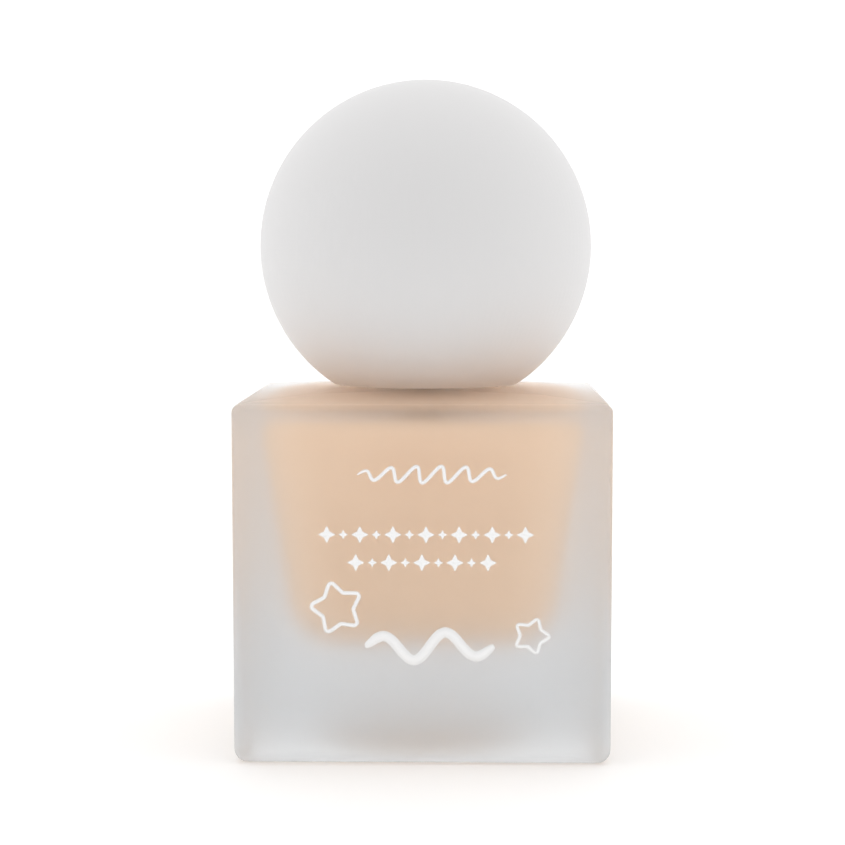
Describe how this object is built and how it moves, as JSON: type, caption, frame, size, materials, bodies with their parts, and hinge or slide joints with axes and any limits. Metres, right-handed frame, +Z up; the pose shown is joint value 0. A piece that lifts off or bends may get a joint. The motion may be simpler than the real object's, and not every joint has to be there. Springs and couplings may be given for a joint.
{
  "type": "foundation bottle",
  "caption": "Square frosted glass cosmetic bottle with a heavy base and tapered fill, a lotion pump on its screw neck, and a matt white ball overcap cut flat at its base.",
  "frame": {"origin": "middle of the bottle's foot, on the surface it stands on", "axes": "+Z up through the ball overcap; the printed front faces -Y; +X is to the right seen from the front"},
  "size_m": [0.046, 0.046, 0.0844],
  "materials": {
    "frosted_glass": "acid-etched satin",
    "foundation_fill": "opaque peach cream",
    "soft_touch_white": "soft-touch coated",
    "white_plastic": "moulded semi-gloss",
    "natural_plastic": "natural translucent moulded",
    "seal_rubber": "soft seal",
    "spring_steel": "bright drawn",
    "satin_aluminium": "satin anodised"
  },
  "bodies": {
    "bottle": {"glass_bottle": "frosted_glass", "foundation_liquid": "foundation_fill"},
    "pump_unit": {"neck_gasket": "seal_rubber", "pump_housing": "natural_plastic", "ball_cage": "natural_plastic", "stem_guide": "white_plastic", "dip_tube": "natural_plastic", "return_spring": "spring_steel"},
    "inlet_ball": {"check_ball": "spring_steel"},
    "piston": {"piston_seal": "seal_rubber"},
    "stem_unit": {"stem": "white_plastic", "stem_plug": "white_plastic"},
    "actuator": {"actuator_head": "white_plastic", "nozzle_insert": "white_plastic"},
    "collar": {"screw_collar": "white_plastic", "collar_sleeve": "satin_aluminium"},
    "ball_cap": {"ball_upper_shell": "soft_touch_white", "ball_lower_shell": "soft_touch_white", "cap_inner_sleeve": "white_plastic"}
  },
  "joints": [
    {"name": "pump_lift", "type": "slide", "parent": "bottle", "child": "pump_unit", "axis": [0, 0, 1], "range_m": [0, 0.00382]},
    {"name": "collar_turn", "type": "hinge", "parent": "pump_unit", "child": "collar", "pos_m": [0, 0, 0.0535], "axis": [0, 0, 1], "range_deg": [0, 540]},
    {"name": "cap_lift", "type": "slide", "parent": "collar", "child": "ball_cap", "axis": [0, 0, 1], "range_m": [0, 0.04]},
    {"name": "stem_press", "type": "slide", "parent": "pump_unit", "child": "stem_unit", "axis": [0, 0, 1], "range_m": [-0.005, 0], "stiffness_N_per_m": 1200, "springref_m": 0.005, "deforming": ["return_spring"]},
    {"name": "piston_slide", "type": "slide", "parent": "pump_unit", "child": "piston", "axis": [0, 0, 1], "range_m": [-0.00421, 0]},
    {"name": "actuator_swivel", "type": "hinge", "parent": "stem_unit", "child": "actuator", "pos_m": [0, 0, 0.068], "axis": [0, 0, 1], "continuous": true},
    {"name": "inlet_ball_lift", "type": "slide", "parent": "pump_unit", "child": "inlet_ball", "axis": [0, 0, 1], "range_m": [0, 0.001]}
  ],
  "couplings": [
    {"joint": "pump_lift", "follows": "collar_turn", "m_per_rad": 0.00040425},
    {"joint": "piston_slide", "follows": "stem_press", "ratio": 0.84}
  ]
}
